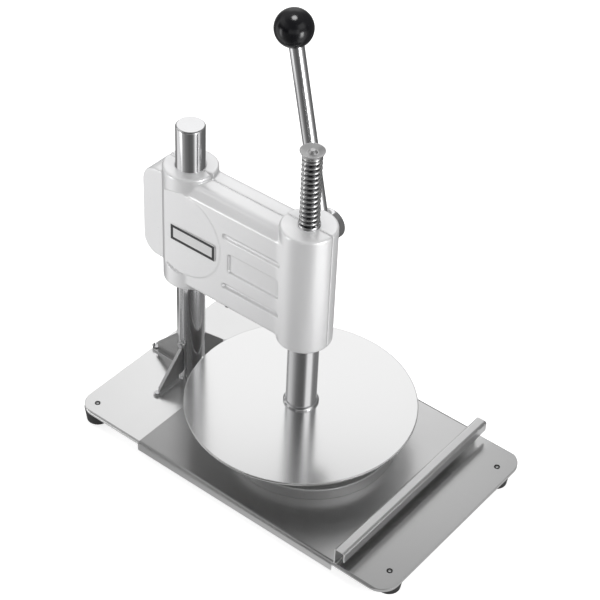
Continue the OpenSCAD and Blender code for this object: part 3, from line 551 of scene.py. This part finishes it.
# faces that lie side by side in one plane are one flat
def flatsOf(bm):
    loose, flats = set(bm.faces), []
    while loose:
        flat, found = [], [loose.pop()]
        while found:
            face = found.pop()
            flat.append(face)
            beside = {other for edge in face.edges for other in edge.link_faces
                      if other in loose and other.normal.dot(face.normal) > samePlane}
            loose -= beside
            found += beside
        flats.append(flat)
    return flats


# bends and the narrow faces of rounds are shaded smooth, flats and chamfers flat
def shade(flat):
    edges = {edge for face in flat for edge in face.edges}
    width = sum(face.calc_area() for face in flat) / max(edge.calc_length() for edge in edges)
    bent = any(bendStep[0] < math.degrees(edge.calc_face_angle(0)) < bendStep[1] for edge in edges)
    for face in flat:
        face.smooth = width < flatFrom and (bent or width < chamferFrom)


def easeEdges(name, ease):
    source = nodes[name]
    bm = bmesh.new()
    bm.from_mesh(source.data)
    bmesh.ops.remove_doubles(bm, verts=bm.verts, dist=mergeWithin)
    bmesh.ops.dissolve_limit(bm, angle_limit=math.radians(bendStep[0]), verts=bm.verts, edges=bm.edges)
    for flat in flatsOf(bm):
        shade(flat)
    weight = bm.edges.layers.float.new("bevel_weight_edge")
    for edge in bm.edges:     # an edge that two bevels would use up stays sharp
        edge[weight] = edge.calc_face_angle(0) > math.radians(easeFrom) and edge.calc_length() > 2 * ease * mm
    mesh = bpy.data.meshes.new(name + "Eased")
    bm.to_mesh(mesh)
    bm.free()
    mesh.materials.append(source.data.materials[0])
    piece = newObject(name + "Eased", mesh)
    bevel = piece.modifiers.new("ease", "BEVEL")
    bevel.width, bevel.segments, bevel.limit_method = ease * mm, easeSteps, "WEIGHT"
    bevel.use_clamp_overlap = False
    settle(piece, bevel)
    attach(piece, bodyOf[name])
    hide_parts(name)


for name, ease in easedEdges.items():
    easeEdges(name, ease)
print("edges eased:", len(easedEdges), "pieces")


# pieces grown by a node tree are turned into plain meshes here

def newTree(name, sizes):
    tree = bpy.data.node_groups.new(name, "GeometryNodeTree")
    graph = Graph(tree)
    tree.interface.new_socket("Geometry", in_out="OUTPUT", socket_type="NodeSocketGeometry")
    for size in sizes:
        tree.interface.new_socket(size, in_out="INPUT", socket_type="NodeSocketFloat")
    entry = graph.add("NodeGroupInput", {}, {})
    return graph, {size: Wire(graph, entry.outputs[size]) for size in sizes}


def endTree(graph, shape, finish):
    smooth = graph.take("GeometryNodeSetShadeSmooth", {}, {"Geometry": shape, "Shade Smooth": True})
    whole = graph.take("GeometryNodeRealizeInstances", {}, {0: smooth})
    dressed = graph.take("GeometryNodeSetMaterial", {}, {"Geometry": whole, "Material": finishes[finish]})
    graph.add("NodeGroupOutput", {}, {"Geometry": dressed})
    return graph.tree


def grow(name, tree, sizes):
    piece = newObject(name, bpy.data.meshes.new(name))
    modifier = piece.modifiers.new("grow", "NODES")
    modifier.node_group = tree
    for socket in tree.interface.items_tree:
        if socket.in_out == "INPUT":
            modifier[socket.identifier] = float(sizes[socket.name])
    settle(piece, modifier)
    return piece


# the head: two half castings from one field of distances, in millimetres; a blend is how softly a shape or a cut
# runs into the rest

headCasting = {
    "columnX": -147.5, "ramX": 1.5, "bottom": 152.0, "top": 290.5,
    "frontR": 28.45, "rearR": 28.35, "rearFillet": 1.4, "frontBlend": 0.6, "rearBlend": 0.8,
    "armHalf": 24.5, "armBottom": 158.0, "armTop": 285.0, "underR": 4.0,
    "shoulder": 12.0, "shoulderLean": (0.85, 0.527), "shoulderBlend": 0.8, "filletEnds": (2.0, 11.0),
    "lug": (-196.5, -147.5, 170.0, 278.5, 19.0, 17.0),   # x0, x1, z0, z1, corner, half width
    "lugEdgeR": 1.2, "lugBlend": 0.5,
    "pad": (-137.5, 223.0, 50.0, 25.3),                  # x, z, radius, face
    "padSink": 0.55, "padCutBlend": 0.1, "padEdgeR": 0.4, "padBlend": 0.5,
    "beadEnds": (-82.0, -16.0), "beadR": 2.8, "beads": ((185.3, 20.8), (247.3, 22.6)),     # level, floor
    "beadFloorR": 2.0, "beadBlend": 0.7,
    "panel": (-46.0, 216.3, 31.5, 11.25, 2.5, 21.8),     # x, z, half length, half height, corner, floor
    "panelFloorR": 0.5, "panelBlend": 0.6,
    "pinion": (-20.5, 244.0), "pinionRoom": (15.0, 12.5), "roomBlend": 0.3,                # radius, depth
    "shaftBossR": 19.55, "shaftBossFace": 31.0, "shaftBossEdgeR": 1.5, "shaftBossBlend": 3.0,
    "shaftBore": (11.07, 21.5), "bushBore": (19.12, 28.0),                                 # radius, depth
    "columnBore": 15.25, "columnBlend": 0.7, "ramBore": 16.5, "studBore": 6.5, "studLip": 4.5, "boreBlend": 0.5,
    "screwHoles": ((-124.45, 167.8), (-124.45, 275.2), (-31.55, 167.8), (-31.55, 275.2)),
    "screwHole": (4.32, 16.5), "screwBlend": 0.4,                                          # radius, floor
    # the parting plane: a slot behind the column, a crack in the rear rim, and near the top the seam opens up
    "slot": 0.84, "slotEdge": 0.4, "crackInset": 1.5, "crackHalf": 6.0, "crackDepth": 3.0,
    "seamOpens": (5.0, 1.0), "seamLeast": 0.2,
    "sizes": {"Rim": 2.2, "Shoulder": 7.0, "Fillet": 4.5, "Seam": 0.34, "Seam edge": 0.4, "Crack": 1.1},
}
skinDensity = 10.0     # the volume's density is this at the skin, and a millimetre further in it is one more
voxel = 0.96
halfCastings = {       # side, and the lowest and highest corner of its volume
    "nearCasting": (-1.0, (-199, -28.5, 149.5), (32.5, 2.0, 293)),
    "farCasting": (1.0, (-199, -2.0, 149.5), (32.5, 33.5, 293)),
}


def rounded(u, v, radius):
    a, b = u + radius, v + radius
    return a.high(b).low(0.0) + away(a.high(0.0), b.high(0.0)) - radius


def softJoin(a, b, width): return a.maths("SMOOTH_MIN", b, width)
def softMeet(a, b, width): return a.maths("SMOOTH_MAX", b, width)
def softCut(a, hole, width): return softMeet(a, -hole, width)


def castingField(graph, sizes, side, d):
    x, y, z = (part * 1000.0 for part in graph.split(graph.take("GeometryNodeInputPosition", {}, {})))
    out = y * side                                    # grows from the parting plane to this half's face
    middle, half = (d["bottom"] + d["top"]) / 2, (d["top"] - d["bottom"]) / 2
    column, ram = away(x - d["columnX"], y), away(x - d["ramX"], y)
    pinion = away(x - d["pinion"][0], z - d["pinion"][1])
    frontBoss, rearBoss = (rounded(boss - radius, abs(z - middle) - half, sizes["Rim"])
                           for boss, radius in ((ram, d["frontR"]), (column, d["rearR"])))
    flat, overTop, overShoulder = out - d["armHalf"], z - d["armTop"], z - (d["armTop"] - d["shoulder"])
    slope = flat * d["shoulderLean"][0] + overShoulder * d["shoulderLean"][1]
    arm = rounded(flat.high(overTop), d["armBottom"] - z, d["underR"])
    arm = softMeet(arm, softMeet(slope, overTop, sizes["Shoulder"]), d["shoulderBlend"])
    arm = arm.high(abs(x - (d["columnX"] + d["ramX"]) / 2) - (d["ramX"] - d["columnX"]) / 2)
    low = z.ramp(*(d["armTop"] - drop for drop in d["filletEnds"]))     # the fillets run out below the arm's top
    body = softJoin(arm, rearBoss, low * d["rearFillet"] + d["rearBlend"])
    body = softJoin(body, frontBoss, low * sizes["Fillet"] + d["frontBlend"])
    x0, x1, z0, z1, corner, thick = d["lug"]
    lugEdge = rounded(abs(z - (z0 + z1) / 2) - (z1 - z0) / 2, x0 - x, corner).high(x - x1)
    body = softJoin(body, rounded(lugEdge, out - thick, d["lugEdgeR"]), d["lugBlend"])

    padX, padZ, padR, padFace = d["pad"]
    padFace = padFace - x.ramp(padX, padX + padR) * d["padSink"]     # it sinks into the arm towards the front
    disc = away(x - padX, z - padZ) - padR
    body = softCut(body, disc.high(padFace - out), d["padCutBlend"])
    onArm = overShoulder.high(d["columnX"] - x)
    body = softJoin(body, rounded(disc.high(onArm), out - padFace, d["padEdgeR"]), d["padBlend"])

    start, end = d["beadEnds"]
    along = (abs(x - (start + end) / 2) - (end - start) / 2).high(0.0)
    for level, floor in d["beads"]:
        bead = rounded(away(along, z - level) - d["beadR"], floor - out, d["beadFloorR"])
        body = softCut(body, bead, d["beadBlend"])
    px, pz, length, height, corner, floor = d["panel"]
    outline = rounded(abs(x - px) - length, abs(z - pz) - height, corner)
    body = softCut(body, rounded(outline, floor - out, d["panelFloorR"]), d["panelBlend"])
    if side > 0:
        shaftBoss = rounded(pinion - d["shaftBossR"], out - d["shaftBossFace"], d["shaftBossEdgeR"])
        body = softJoin(body, shaftBoss, d["shaftBossBlend"])

    body = softCut(body, column - d["columnBore"], d["columnBlend"])
    bore = (ram - d["ramBore"]).high(z - (d["top"] - d["studLip"])).low(ram - d["studBore"])
    radius, depth = d["bushBore"]
    body = softCut(body, bore.low((ram - radius).high(z - (d["bottom"] + depth))), d["boreBlend"])
    radius, depth = d["pinionRoom"]
    body = softCut(body, (pinion - radius).high(out - depth), d["roomBlend"])
    radius, depth = d["shaftBore"]                    # right through on the handle's side
    shaft = pinion - radius
    body = softCut(body, shaft if side > 0 else shaft.high(out - depth), d["boreBlend"])
    if side > 0:
        radius, floor = d["screwHole"]
        for sx, sz in d["screwHoles"]:
            body = softCut(body, (away(x - sx, z - sz) - radius).high(floor - out), d["screwBlend"])

    slot = (d["columnX"] - x).above(0.0) * d["slot"]
    crackX = d["columnX"] + d["rearR"] - d["crackInset"]
    crack = (1.0 - abs(x - crackX) / d["crackHalf"]).clamp() * (overTop + d["crackDepth"]).clamp()
    seam = z.ramp(*(d["armTop"] - drop for drop in d["seamOpens"])) * (1 - d["seamLeast"]) + d["seamLeast"]
    gap = sizes["Seam"] * seam + slot + crack * sizes["Crack"]
    return softCut(body, out - gap, sizes["Seam edge"] * seam + slot * d["slotEdge"])


def castingTree(name, side, low, high, step, d):
    graph, sizes = newTree(name, list(d["sizes"]))
    field = castingField(graph, sizes, side, d)
    counts = [int((b - a) / step) + 1 for a, b in zip(low, high)]
    block = graph.take("GeometryNodeVolumeCube", {}, {
        "Density": skinDensity - field, "Background": 0.0, "Min": [v * mm for v in low], "Max": [v * mm for v in high],
        "Resolution X": counts[0], "Resolution Y": counts[1], "Resolution Z": counts[2]})
    skin = graph.take("GeometryNodeVolumeToMesh", {}, {"Volume": block, "Threshold": skinDensity, "Adaptivity": 0.0})
    return endTree(graph, skin, "castSilver")


for name, (side, low, high) in halfCastings.items():
    casting = grow(name, castingTree(name, side, low, high, voxel, headCasting), headCasting["sizes"])
    casting.visible_glossy = False
    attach(casting, "head")
    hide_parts("near_shell" if side < 0 else "far_shell")
    print(name, "cast:", len(casting.data.polygons), "faces")


# return spring on the ram's stud: closed turns at both ends, open turns between

returnSpring = {
    "x": 1.5, "low": 294.2, "high": 370.8, "turns": 15.0, "endTurns": 1.0, "ringsPerTurn": 40,
    "startAngle": 0.6, "wireSides": 14,
    "sizes": {"Coil radius": 8.6, "Wire radius": 1.4, "End pitch": 3.1},
}


def springTree(d):
    graph, sizes = newTree("returnSpring", list(d["sizes"]))
    rings = int(d["turns"] * d["ringsPerTurn"]) + 1
    line = graph.take("GeometryNodeCurvePrimitiveLine", {}, {})
    line = graph.take("GeometryNodeResampleCurve", {}, {"Curve": line, "Count": rings})
    turn = graph.take("GeometryNodeInputIndex", {}, {}) / (rings - 1) * d["turns"]
    # the end pitch holds for one turn at each end, and the open pitch takes up the rest
    closed = turn.low(d["endTurns"]) + (turn - (d["turns"] - d["endTurns"])).high(0.0)
    openTurns = d["turns"] - 2 * d["endTurns"]
    pitch = ((d["high"] - d["low"]) - 2 * d["endTurns"] * sizes["End pitch"]) / openTurns
    rise = closed * sizes["End pitch"] + (turn - closed) * pitch + d["low"]
    angle = turn * (2 * math.pi) + d["startAngle"]
    place = graph.take("ShaderNodeCombineXYZ", {}, {
        0: (angle.maths("COSINE") * sizes["Coil radius"] + d["x"]) * mm,
        1: angle.maths("SINE") * sizes["Coil radius"] * mm, 2: rise * mm})
    coil = graph.take("GeometryNodeSetPosition", {}, {"Geometry": line, "Position": place})
    wire = graph.take("GeometryNodeCurvePrimitiveCircle", {}, {"Resolution": d["wireSides"],
                                                               "Radius": sizes["Wire radius"] * mm})
    skin = graph.take("GeometryNodeCurveToMesh", {}, {"Curve": coil, "Profile Curve": wire, "Fill Caps": True})
    return endTree(graph, skin, "springWire")


spring = grow("springCoil", springTree(returnSpring), returnSpring["sizes"])
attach(spring, "head")
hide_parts("return_spring")
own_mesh(spring)
print("return spring wound:", len(spring.data.polygons), "faces")
